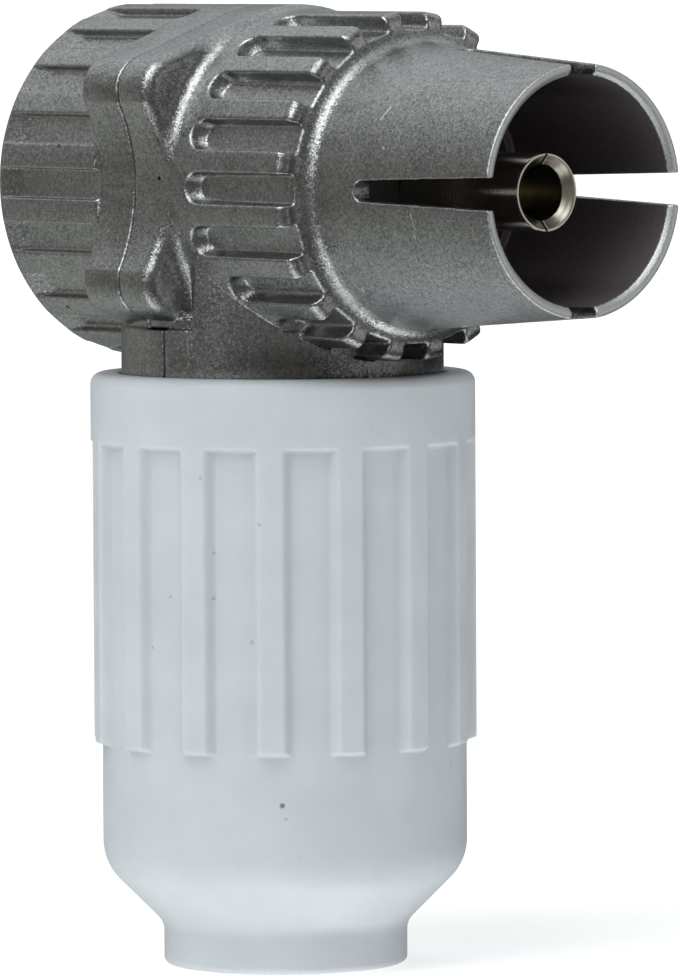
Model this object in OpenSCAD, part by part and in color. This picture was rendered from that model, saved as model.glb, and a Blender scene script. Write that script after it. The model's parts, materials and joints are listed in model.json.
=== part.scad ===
// Right-angle coaxial socket: a two-part cast body, a spring contact and a screw-on cable sleeve.
// X is the mating direction, Z is the cable axis, and the sleeve's foot stands at Z = 0.

/* [Cable sleeve] */
// Length of the sleeve from its foot to its top rim
sleeve_len = 26.5; // [24.5:0.1:32]
// Radius of the narrow foot
foot_r = 5.45; // [5:0.05:6]
// Round under the foot
foot_round = 0.3; // [0.1:0.05:0.5]
// Fillet between the foot and the slope above it
foot_fillet = 0.9; // [0.4:0.1:1.2]
// Radius of the plain lower body, which is also the floor of the grooves
sleeve_body_r = 8.15; // [8:0.05:8.35]
// Height at which the lower body reaches its full radius
shoulder_z = 5.55; // [5.2:0.05:6.5]
// Round between the slope and the lower body
shoulder_round = 2.4; // [1:0.1:3]
// Radius over the ribs
rib_r = 8.57; // [8.45:0.01:9]
// Height of the lower ends of the ribs
rib_bottom_z = 10; // [8:0.1:12]
// Height of the upper ends of the grooves
groove_top_z = 23.4; // [20:0.1:24]
// Number of ribs round the sleeve
rib_count = 15; // [10:1:20]
// Width of a groove in degrees
groove_angle = 14.4; // [10:0.1:16]
// Turn of the groove nearest to the mating direction in degrees
groove_turn = -7; // [-12:0.5:12]
// Height of the plain band's surface over the ribs
band_step = 0.03; // [0:0.01:0.2]
// Round of the sleeve's top rim
rim_round = 0.5; // [0.2:0.05:0.6]
// Radius of the cable's way through the foot
cable_hole_r = 3.75; // [3.4:0.05:4]
// Height of the seat that the cable clamp stands on
seat_z = 2.6; // [2.2:0.1:3.2]

/* [Neck] */
// Radius of the neck where it shows above the sleeve
neck_r = 7.2; // [7.1:0.05:7.4]
// Mean radius of the neck's thread
thread_r = 6.75; // [6.5:0.05:6.9]
// Length of plain neck that reaches down into the sleeve
neck_land = 1.5; // [1:0.1:3]
// Height of neck that shows between the sleeve and the ledge
neck_show = 2.1; // [1.5:0.1:3]
// Height of the neck's lower end
neck_end_z = 8.6; // [8:0.1:10]
// Inner radius of the neck's cable chamber
chamber_r = 5; // [4.5:0.05:5.4]
// Radius between the jaws that grip the braid
jaw_r = 3.5; // [3.4:0.05:3.8]
// Height of one jaw
jaw_t = 1.2; // [0.8:0.1:1.5]
// Distance from one jaw to the next
jaw_pitch = 3.2; // [2.5:0.1:4]
// Number of jaws
jaw_count = 4; // [2:1:4]
// Radius of the way for the cable's core
core_hole_r = 2.7; // [2:0.1:3]
// Thickness of the floor between the cable chamber and the contact chamber
chamber_roof = 1.6; // [1:0.1:3]
// X of the seam between the two halves of the neck
neck_seam_x = 0.5; // [-0.5:0.1:1]
// Width across the flat sides of the boss over the neck
boss_w = 12; // [11:0.1:14]

/* [Cast body] */
// Height of the mating axis above the neck's ledge
axis_rise = 6.32; // [6:0.02:8]
// Distance of the parting plane behind the cable axis
seam_back = 0.85; // [0.5:0.05:1.5]
// Thickness of the front flange
front_flange_t = 2.1; // [1.5:0.1:3]
// Thickness of the rear flange
rear_flange_t = 2.65; // [2:0.05:3.5]
// Radius of the flanges over the top
flange_r = 7.95; // [7.8:0.05:8.2]
// Radius of the flanges at their waists
waist_r = 7.66; // [7.4:0.01:7.8]
// How far the ears stand out past the sleeve's band on each side
ear_proud = 0.02; // [0:0.02:0.4]
// Round of an ear
ear_r = 1.58; // [1.3:0.02:1.8]
// Angle of an ear above or below the horizontal
ear_angle = 30.8; // [28:0.2:34]
// Fillet between the flange's face and the ring
flange_fillet = 0.65; // [0.3:0.05:0.9]
// Radius over the ring's teeth
ring_r = 7.7; // [7.5:0.05:7.9]
// Length of the ring in front of the flange
ring_len = 8.1; // [7:0.05:10]
// Round of the ring's front edge
ring_round = 0.55; // [0.2:0.05:0.7]
// Number of finger slots round the ring and round the drum
slot_count = 20; // [16:2:22]
// Width of a ring slot
ring_slot_w = 1.36; // [1:0.02:1.5]
// Depth of a ring slot
ring_slot_depth = 0.8; // [0.4:0.05:0.9]
// Length of ring left plain behind the slots
ring_land = 1.45; // [1.2:0.05:2.5]
// Radius of the drum
drum_r = 8; // [7.8:0.05:8.2]
// Length of the drum behind the flange
drum_len = 7.3; // [6:0.1:9]
// Round of the drum's rear edge
drum_round = 0.8; // [0.3:0.05:1]
// Width of a drum slot
drum_slot_w = 1.34; // [1:0.02:1.5]
// Depth of a drum slot
drum_slot_depth = 0.4; // [0.2:0.05:0.6]
// Thickness of the drum's rear wall
rear_wall = 1.5; // [1:0.1:2]
// Inner radius of the contact chamber
cavity_r = 6.1; // [5.9:0.05:6.2]
// Wall of the rear half's locating lip
lip_wall = 0.8; // [0.6:0.05:1]
// Reach of the locating lip into the front half
lip_len = 1.5; // [1:0.1:2]
// Depth of the lip's root in the rear half's wall
lip_bite = 0.5; // [0.2:0.1:0.8]

/* [Socket shell] */
// Length of the shell in front of the ring
shell_len = 11.2; // [9:0.05:12]
// Inner radius of the shell round the insulator
shell_bore_r = 4.75; // [4.7:0.01:4.8]
// Inner radius of the shell just in front of the insulator
deep_bore_r = 5.15; // [5:0.05:5.3]
// Inner radius of the shell behind its lead-in
mouth_bore_r = 4.82; // [4.8:0.02:5]
// Lead-in chamfer at the shell's mouth
lead_in = 0.3; // [0.1:0.05:0.4]
// Wall of the shell at its mouth, round the lead-in
mouth_wall = 0.38; // [0.2:0.02:0.6]
// Wall of the shell at its root
root_wall = 1.15; // [1:0.05:1.4]
// Fillet between the ring's face and the shell
shell_fillet = 0.75; // [0.3:0.05:0.9]
// Length of the four spring slots
shell_slot_len = 8.2; // [6:0.05:9]
// Width of a spring slot at the mouth
slot_mouth_w = 1.38; // [1:0.02:2]
// Width of a spring slot at its root
slot_root_w = 0.9; // [0.5:0.02:1]

/* [Contact] */
// Outer radius of the spring contact
contact_r = 1.7; // [1.5:0.01:1.8]
// Radius of the contact's bore
contact_bore_r = 1.2; // [1.15:0.01:1.25]
// Depth of the contact's bore
contact_bore_len = 8; // [6:0.1:9]
// Distance of the contact's end behind the shell's mouth
contact_recess = 2.45; // [1:0.05:3]
// Chamfer at the contact's mouth
contact_chamfer = 0.3; // [0.1:0.02:0.4]
// Width of the contact's two slits
slit_w = 0.12; // [0.1:0.01:0.4]
// Length of the contact's two slits
slit_len = 6; // [4:0.1:7]
// Radius of the contact's terminal
terminal_r = 2.4; // [2.2:0.05:2.8]
// Length of the terminal behind the cable axis
terminal_back = 3.6; // [3:0.1:4]
// Radius of the cross hole for the cable's inner conductor
wire_hole_r = 0.7; // [0.5:0.05:0.9]

/* [Insulator] */
// Length of the insulator inside the shell
insulator_len = 5.6; // [4:0.1:6]
// Thickness of the insulator's flange
insulator_flange_t = 1.4; // [1:0.1:1.6]
// Position of the shoulder that the insulator's flange seats on, in front of the cable axis
shoulder_x = 4.6; // [4.4:0.1:5]

/* [Terminal screw] */
// Radius of the screw's shank
screw_r = 1.25; // [1:0.05:1.3]
// Radius of the screw's head
screw_head_r = 2.1; // [1.8:0.05:2.4]
// Height of the screw's head
screw_head_h = 1.3; // [1:0.1:1.6]
// Gap under the screw's head
screw_gap = 0.4; // [0.2:0.1:0.8]
// Width of the driver slot
driver_slot_w = 0.6; // [0.4:0.05:0.8]
// Depth of the driver slot
driver_slot_d = 0.7; // [0.5:0.05:0.9]

/* [Cable clamp] */
// Outer radius of the clamp's rim
clamp_r = 6.4; // [6:0.05:6.5]
// Outer radius of the clamp's narrow end
clamp_tip_r = 4.8; // [4.6:0.05:5.2]
// Radius of the clamp's bore
clamp_bore_r = 4.1; // [3.9:0.05:4.2]
// Height of the clamp's straight rim
clamp_rim_h = 2; // [1.5:0.1:2.2]
// Number of slits that let the clamp close
clamp_slits = 6; // [4:1:8]
// Width of a clamp slit
clamp_slit_w = 0.8; // [0.5:0.05:1]

/* [Fits] */
// Gap in the seams between the two cast halves
seam_gap = 0.06; // [0.04:0.01:0.1]
// Gap round pressed pieces
press_gap = 0.02; // [0.01:0.01:0.04]
// Gap between the neck's plain part and the sleeve
neck_gap = 0.15; // [0.1:0.01:0.2]
// Gap between the neck's thread and the sleeve's thread
thread_gap = 0.2; // [0.15:0.01:0.25]
// Gap round the cable clamp
clamp_gap = 0.15; // [0.1:0.01:0.2]
// Gap round the locating lip and the insulator's flange
lip_gap = 0.1; // [0.05:0.01:0.2]
// Room between the sleeve's rim and the cast body above it
rim_gap = 0.2; // [0.1:0.05:0.4]

/* [Hidden] */
$fn = 96;
// Overlap of cutting shapes past the faces that they cut
cut = 1;
// Steps along a quarter of a drawn round
round_steps = 6;

band_r = rib_r + band_step;
ledge_z = sleeve_len + neck_show;
axis_z = ledge_z + axis_rise;
seam_x = -seam_back;
flange_x = seam_x + front_flange_t;
ring_x = flange_x + ring_len;
mouth_x = ring_x + shell_len;
drum_x = seam_x - rear_flange_t;
rear_x = drum_x - drum_len;
lead_in_r = mouth_bore_r + lead_in;
mouth_r = lead_in_r + mouth_wall;
root_r = deep_bore_r + root_wall;
ring_floor_r = ring_r - ring_slot_depth;
drum_floor_r = drum_r - drum_slot_depth;
slot_root_x = mouth_x - shell_slot_len;
contact_x = mouth_x - contact_recess;
insulator_x = shoulder_x + insulator_len;
flange_back_x = shoulder_x - insulator_flange_t;
screw_head_x = -terminal_back - screw_gap;
chamber_top_z = ledge_z - chamber_roof;
thread_top_z = sleeve_len - neck_land;
clamp_top_z = neck_end_z - clamp_gap;
clamp_cone_z = clamp_top_z - clamp_rim_h;
clamp_end_z = seat_z + clamp_gap;
// Height of the foot's straight part under a slope of 45 degrees that runs into the shoulder
foot_h = foot_r - sleeve_body_r + shoulder_z - (sqrt(2) - 1) * (foot_fillet + shoulder_round);
rib_pitch = 360 / rib_count;
slot_pitch = 360 / slot_count;
body_reach = mouth_x + axis_z;

// Centre of an ear, from the mating axis
ear_y = band_r + ear_proud - ear_r;
ear_z = ear_y * tan(ear_angle);
// Angle at which the line along an ear touches the flange's round
ear_touch = ear_angle + acos((flange_r - ear_r) / norm([ear_y, ear_z]));
// Radius of the hollow waist that runs from ear to ear
waist_hollow_r = (pow(waist_r - ear_y, 2) + ear_z * ear_z - ear_r * ear_r) / (2 * (ear_r - waist_r + ear_y));
waist_turn = atan2(ear_z, waist_r + waist_hollow_r - ear_y);

function direction(a) = [cos(a), sin(a)];
function arc(centre, r, from, to, steps) =
    [for (i = [0 : steps]) centre + r * direction(from + (to - from) * i / steps)];

// One quarter of the flange's outline: the waist, the ear and the round over the top
function flange_quarter() = concat(
    arc([waist_r + waist_hollow_r, 0], waist_hollow_r, 180, 180 - waist_turn, round_steps),
    arc([ear_y, ear_z], ear_r, -waist_turn, ear_touch, 2 * round_steps),
    arc([0, 0], flange_r, ear_touch, 90, round_steps));
function turned_back(points) = [for (i = [len(points) - 1 : -1 : 0]) points[i]];
function mirrored(points, sx, sy) = [for (p = points) [p[0] * sx, p[1] * sy]];
function flange_half(points) = concat(points, turned_back(mirrored(points, -1, 1)));

// Puts a shape drawn round Z onto the mating axis, with its Z along X and its X downwards
module on_mating_axis() {
    translate([0, 0, axis_z])
        rotate([0, 90, 0])
            children();
}

module turned(points) {
    on_mating_axis()
        rotate_extrude()
            polygon(points);
}

module bored(r, from_x, to_x) {
    on_mating_axis()
        translate([0, 0, from_x])
            cylinder(r = r, h = to_x - from_x);
}

// Everything above the height z
module above(z) {
    translate([-body_reach, -body_reach, z])
        cube([2 * body_reach, 2 * body_reach, 2 * body_reach]);
}

// The side of the stepped seam that the front half lies on, moved forward by a gap
module front_side(gap) {
    rotate([90, 0, 0])
        translate([0, 0, -body_reach])
            linear_extrude(2 * body_reach)
                polygon([[seam_x + gap, 2 * body_reach], [seam_x + gap, ledge_z + gap],
                    [neck_seam_x + gap, ledge_z + gap], [neck_seam_x + gap, -cut],
                    [body_reach, -cut], [body_reach, 2 * body_reach]]);
}

module flange_outline() {
    upper = flange_half(flange_quarter());
    rotate(90)
        polygon(concat(upper, turned_back(mirrored(upper, 1, -1))));
}

module flange_prism(from_x, to_x) {
    on_mating_axis()
        translate([0, 0, from_x])
            linear_extrude(to_x - from_x)
                flange_outline();
}

// Fillet between the flange's face and the ring, kept inside the ears
module ear_fillets() {
    intersection() {
        turned(concat([[0, flange_x - cut], [ring_r + flange_fillet, flange_x - cut]],
            arc([ring_r + flange_fillet, flange_x + flange_fillet], flange_fillet, 270, 180, round_steps),
            [[0, flange_x + flange_fillet]]));
        flange_prism(flange_x - cut, flange_x + flange_fillet);
    }
}

module ring_slot() {
    slot_end_x = flange_x + ring_land + ring_slot_w / 2;
    translate([ring_floor_r, 0, 0])
        rotate([0, 90, 0])
            linear_extrude(ring_r) {
                translate([-ring_x - cut, -ring_slot_w / 2])
                    square([ring_x + cut - slot_end_x, ring_slot_w]);
                translate([-slot_end_x, 0])
                    circle(d = ring_slot_w);
            }
}

module ring_and_shell() {
    difference() {
        turned(concat([[0, seam_x], [waist_r, seam_x], [ring_r, flange_x]],
            arc([ring_r - ring_round, ring_x - ring_round], ring_round, 0, 90, round_steps),
            arc([root_r + shell_fillet, ring_x + shell_fillet], shell_fillet, 270, 180, round_steps),
            [[mouth_r, mouth_x], [0, mouth_x]]));
        on_mating_axis()
            for (i = [0 : slot_count - 1])
                rotate(i * slot_pitch)
                    ring_slot();
    }
}

module drum() {
    difference() {
        turned(concat([[0, rear_x], [drum_r - drum_round, rear_x]],
            arc([drum_r - drum_round, rear_x + drum_round], drum_round, 270, 360, round_steps),
            [[drum_r, drum_x], [waist_r, seam_x], [0, seam_x]]));
        on_mating_axis()
            for (i = [0 : slot_count - 1])
                rotate(i * slot_pitch)
                    translate([drum_floor_r, -drum_slot_w / 2, rear_x - cut])
                        cube([drum_r, drum_slot_w, drum_len + cut]);
    }
}

// The neck as one turned piece, with a plain top and a threaded part inside the sleeve
module neck() {
    translate([0, 0, neck_end_z])
        cylinder(r = thread_r, h = ledge_z - neck_end_z);
    translate([0, 0, thread_top_z])
        cylinder(r = neck_r, h = ledge_z - thread_top_z);
}

// The neck's front goes on up to the ring as a boss with flat sides
module boss() {
    intersection() {
        translate([0, 0, ledge_z - cut])
            cylinder(r = neck_r, h = axis_rise + cut);
        translate([flange_x - cut, -boss_w / 2, ledge_z - cut])
            cube([neck_r + cut, boss_w, axis_rise + cut]);
    }
}

// Outside of the whole cast body before it is parted
module cast_outside() {
    intersection() {
        union() {
            ring_and_shell();
            drum();
            flange_prism(drum_x, flange_x);
            ear_fillets();
        }
        above(sleeve_len + rim_gap);
    }
    neck();
    boss();
}

// Cable chamber with the jaws that grip the braid
module neck_chamber() {
    difference() {
        translate([0, 0, neck_end_z - cut])
            cylinder(r = chamber_r, h = chamber_top_z - neck_end_z + cut);
        for (i = [0 : jaw_count - 1])
            translate([0, 0, neck_end_z + i * jaw_pitch])
                difference() {
                    cylinder(r = chamber_r + cut, h = jaw_t);
                    translate([0, 0, -cut])
                        cylinder(r = jaw_r, h = jaw_t + 2 * cut);
                }
    }
    cylinder(r = core_hole_r, h = axis_z);
}

module cast_inside() {
    bored(cavity_r, rear_x + rear_wall, shoulder_x);
    bored(shell_bore_r, shoulder_x - cut, insulator_x + cut);
    turned([[0, insulator_x], [deep_bore_r, insulator_x], [mouth_bore_r, mouth_x - lead_in],
        [lead_in_r, mouth_x], [lead_in_r, mouth_x + cut], [0, mouth_x + cut]]);
    neck_chamber();
}

// One pair of spring slots, cut right across the shell
module shell_slots() {
    slot_round_x = slot_root_x + slot_root_w / 2;
    translate([0, 0, -mouth_r - cut])
        linear_extrude(2 * (mouth_r + cut)) {
            polygon([[slot_round_x, -slot_root_w / 2], [mouth_x + cut, -slot_mouth_w / 2],
                [mouth_x + cut, slot_mouth_w / 2], [slot_round_x, slot_root_w / 2]]);
            translate([slot_round_x, 0])
                circle(d = slot_root_w);
        }
}

module front_housing() {
    color("#7b7b77")
        difference() {
            intersection() {
                cast_outside();
                front_side(seam_gap / 2);
            }
            cast_inside();
            translate([0, 0, axis_z])
                for (a = [0, 90])
                    rotate([a, 0, 0])
                        shell_slots();
        }
}

// Lip on the rear half that centres it in the front half
module locating_lip() {
    lip_r = cavity_r - lip_gap;
    difference() {
        bored(lip_r, seam_x - lip_len, seam_x + lip_len);
        bored(lip_r - lip_wall, seam_x - lip_len - cut, seam_x + lip_len + cut);
    }
}

// Root that joins the lip to the wall of the rear half
module lip_root() {
    difference() {
        bored(cavity_r + lip_bite, seam_x - lip_len, seam_x - seam_gap);
        bored(cavity_r - lip_gap - lip_wall, seam_x - lip_len - cut, seam_x + cut);
    }
}

module rear_cover() {
    color("#777773")
        difference() {
            union() {
                difference() {
                    cast_outside();
                    front_side(-seam_gap / 2);
                    cast_inside();
                }
                locating_lip();
                lip_root();
            }
            neck_chamber();
        }
}

// Spring contact with its terminal for the cable's inner conductor
module centre_contact() {
    color("#c9c6bc")
        difference() {
            turned([[0, -terminal_back], [terminal_r, -terminal_back], [terminal_r, flange_back_x],
                [contact_r, flange_back_x], [contact_r, contact_x], [0, contact_x]]);
            bored(contact_bore_r, contact_x - contact_bore_len, contact_x + cut);
            turned([[0, contact_x - contact_chamfer], [contact_bore_r, contact_x - contact_chamfer],
                [contact_bore_r + contact_chamfer, contact_x], [contact_bore_r + contact_chamfer, contact_x + cut],
                [0, contact_x + cut]]);
            translate([contact_x - slit_len, -slit_w / 2, axis_z - contact_r - cut])
                cube([slit_len + cut, slit_w, 2 * (contact_r + cut)]);
            translate([0, 0, axis_z - terminal_r - cut])
                cylinder(r = wire_hole_r, h = 2 * (terminal_r + cut));
            bored(screw_r + press_gap, -terminal_back - cut, 0);
        }
}

module contact_insulator() {
    color("#d8d2bf")
        turned([[contact_r + press_gap, flange_back_x], [cavity_r - lip_gap, flange_back_x],
            [cavity_r - lip_gap, shoulder_x], [shell_bore_r - press_gap, shoulder_x],
            [shell_bore_r - press_gap, insulator_x], [contact_r + press_gap, insulator_x]]);
}

module terminal_screw() {
    color("#b9b7ae")
        difference() {
            union() {
                bored(screw_r, screw_head_x, -wire_hole_r);
                bored(screw_head_r, screw_head_x - screw_head_h, screw_head_x);
            }
            translate([screw_head_x - screw_head_h - cut, -driver_slot_w / 2, axis_z - screw_head_r - cut])
                cube([driver_slot_d + cut, driver_slot_w, 2 * (screw_head_r + cut)]);
        }
}

// Slit ring that the sleeve's cone closes on the cable
module cable_clamp() {
    color("#e4e2da")
        difference() {
            rotate_extrude()
                polygon([[clamp_bore_r, clamp_end_z], [clamp_tip_r, clamp_end_z], [clamp_r, clamp_cone_z],
                    [clamp_r, clamp_top_z], [clamp_bore_r, clamp_top_z]]);
            for (i = [0 : clamp_slits - 1])
                rotate(i * 360 / clamp_slits)
                    translate([0, -clamp_slit_w / 2, clamp_end_z - cut])
                        cube([clamp_r + cut, clamp_slit_w, clamp_cone_z - clamp_end_z + cut]);
        }
}

module sleeve_ribs() {
    rib_angle = rib_pitch - groove_angle;
    rib_reach = 2 * rib_r;
    translate([0, 0, rib_bottom_z])
        linear_extrude(groove_top_z + cut - rib_bottom_z)
            intersection() {
                circle(r = rib_r);
                union() {
                    circle(r = sleeve_body_r);
                    for (i = [0 : rib_count - 1])
                        rotate(groove_turn + (i + 0.5) * rib_pitch)
                            polygon([[0, 0], rib_reach * direction(-rib_angle / 2),
                                rib_reach * direction(rib_angle / 2)]);
                }
            }
}

module cable_sleeve() {
    color("#e3e7e8")
        difference() {
            union() {
                rotate_extrude()
                    polygon(concat([[0, 0]],
                        arc([foot_r - foot_round, foot_round], foot_round, 270, 360, round_steps),
                        arc([foot_r + foot_fillet, foot_h], foot_fillet, 180, 135, round_steps),
                        arc([sleeve_body_r - shoulder_round, shoulder_z], shoulder_round, 315, 360, round_steps),
                        [[sleeve_body_r, groove_top_z + cut], [0, groove_top_z + cut]]));
                sleeve_ribs();
                rotate_extrude()
                    polygon(concat([[0, groove_top_z], [band_r, groove_top_z]],
                        arc([band_r - rim_round, sleeve_len - rim_round], rim_round, 0, 90, round_steps),
                        [[0, sleeve_len]]));
            }
            translate([0, 0, -cut])
                cylinder(r = cable_hole_r, h = seat_z + 2 * cut);
            rotate_extrude()
                polygon([[0, seat_z], [clamp_tip_r + clamp_gap, seat_z], [clamp_tip_r + clamp_gap, clamp_end_z],
                    [clamp_r + clamp_gap, clamp_cone_z], [thread_r + thread_gap, clamp_top_z],
                    [thread_r + thread_gap, thread_top_z - neck_gap], [neck_r + neck_gap, thread_top_z - neck_gap],
                    [neck_r + neck_gap, sleeve_len + cut], [0, sleeve_len + cut]]);
        }
}

front_housing();
rear_cover();
centre_contact();
contact_insulator();
terminal_screw();
cable_clamp();
cable_sleeve();
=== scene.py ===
# Looks of a right-angle coaxial socket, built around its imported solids.
# Lengths in the dictionaries are millimetres, angles are degrees, and meshes are in metres.
import json
import math
import bmesh
import bpy
import numpy as np
import openvdb
from mathutils import Matrix, Vector


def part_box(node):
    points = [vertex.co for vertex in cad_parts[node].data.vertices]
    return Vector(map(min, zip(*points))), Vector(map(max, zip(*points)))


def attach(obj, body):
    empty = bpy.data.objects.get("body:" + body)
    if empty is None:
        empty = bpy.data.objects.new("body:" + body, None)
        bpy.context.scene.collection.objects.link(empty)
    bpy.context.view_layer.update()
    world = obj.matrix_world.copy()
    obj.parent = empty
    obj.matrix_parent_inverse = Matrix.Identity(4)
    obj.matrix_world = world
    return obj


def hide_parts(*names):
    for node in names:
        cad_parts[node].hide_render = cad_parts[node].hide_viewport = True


mm = 0.001
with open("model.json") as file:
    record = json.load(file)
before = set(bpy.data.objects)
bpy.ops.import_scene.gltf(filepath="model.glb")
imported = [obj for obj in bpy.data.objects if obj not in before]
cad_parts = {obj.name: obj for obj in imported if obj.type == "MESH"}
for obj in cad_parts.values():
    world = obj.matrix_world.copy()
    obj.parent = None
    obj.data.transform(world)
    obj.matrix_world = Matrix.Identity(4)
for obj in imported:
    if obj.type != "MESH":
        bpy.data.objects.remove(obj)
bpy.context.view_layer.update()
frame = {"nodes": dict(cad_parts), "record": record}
mounts = {mount["name"]: mount for mount in frame["record"]["mounts"]}
axisZ = mounts["contact_socket"]["pos_m"][2] / mm     # height of the mating axis
mouthX = mounts["socket_shell"]["pos_m"][0] / mm      # front end of the shell
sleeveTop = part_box("cable_sleeve")[1].z / mm
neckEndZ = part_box("front_housing")[0].z / mm
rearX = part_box("rear_cover")[0].x / mm
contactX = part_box("centre_contact")[1].x / mm
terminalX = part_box("centre_contact")[0].x / mm
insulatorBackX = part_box("contact_insulator")[0].x / mm
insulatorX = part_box("contact_insulator")[1].x / mm
print("frame loaded, mating axis at", round(axisZ, 2), "mm")


def linearColour(code):
    parts = [int(code[i:i + 2], 16) / 255 for i in (1, 3, 5)]
    return [p / 12.92 if p <= 0.04045 else ((p + 0.055) / 1.055) ** 2.4 for p in parts] + [1.0]


def addNode(tree, kind, settings, inputs):
    node = tree.nodes.new(kind)
    for name, value in settings.items():
        setattr(node, name, value)
    for key, value in inputs.items():
        if isinstance(value, bpy.types.NodeSocket):
            tree.links.new(value, node.inputs[key])
        else:
            node.inputs[key].default_value = value
    return node


def newMaterial(name):
    material = bpy.data.materials.new(name)
    material.use_nodes = True
    tree = material.node_tree
    place = addNode(tree, "ShaderNodeTexCoord", {}, {}).outputs["Object"]
    return material, tree, tree.nodes["Principled BSDF"], place


def perMetre(size):
    return 1 / (size * mm)      # texture scale whose features are about this many millimetres across


castMarks = {      # start, end and half width of each small mark on the castings
    "pits": [
        ((0.9, -7.72, 35.31), (0.95, -7.72, 35.28), 0.13),
        ((-6.17, -7.78, 36.6), (-6.17, -7.74, 36.85), 0.08),
        ((-10.05, -7.67, 37.1), (-10.05, -7.62, 37.25), 0.11),
        ((-8.34, -5.64, 29.29), (-8.3, -5.66, 29.31), 0.13),
    ],
    "nicks": [
        ((13.16, -5.17, 38.02), (13.4, -4.8, 38.53), 0.06),
        ((13.88, -5.66, 36.83), (13.97, -5.68, 36.75), 0.08),
        ((15.8, -5.77, 34.04), (15.92, -5.6, 33.31), 0.04),
        ((15.77, -5.53, 33.05), (15.8, -5.5, 32.96), 0.07),
        ((10.98, -4.47, 30.65), (10.91, -4.3, 30.47), 0.06),
    ],
}
markCore = 0.4      # share of a mark's half width that has its full tone


def markMask(tree, place, marks):      # one on the marks and nought away from them
    mask = 0.0
    for start, end, half in marks:
        begin = Vector(start) * mm
        finish = Vector(end) * mm
        length = (finish - begin).length
        way = (finish - begin) / length
        past = addNode(tree, "ShaderNodeVectorMath", {"operation": "SUBTRACT"}, {0: place, 1: begin})
        along = addNode(tree, "ShaderNodeVectorMath", {"operation": "DOT_PRODUCT"},
                        {0: past.outputs[0], 1: way})
        kept = addNode(tree, "ShaderNodeClamp", {}, {"Value": along.outputs["Value"], "Max": length})
        nearest = addNode(tree, "ShaderNodeVectorMath", {"operation": "SCALE"},
                          {0: way, "Scale": kept.outputs[0]})
        away = addNode(tree, "ShaderNodeVectorMath", {"operation": "DISTANCE"},
                       {0: past.outputs[0], 1: nearest.outputs[0]})
        spot = addNode(tree, "ShaderNodeMapRange", {"interpolation_type": "SMOOTHSTEP"},
                       {"Value": away.outputs["Value"], "From Min": markCore * half * mm,
                        "From Max": half * mm, "To Min": 1.0, "To Max": 0.0})
        mask = addNode(tree, "ShaderNodeMath", {"operation": "MAXIMUM"},
                       {0: mask, 1: spot.outputs[0]}).outputs[0]
    return mask


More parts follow.
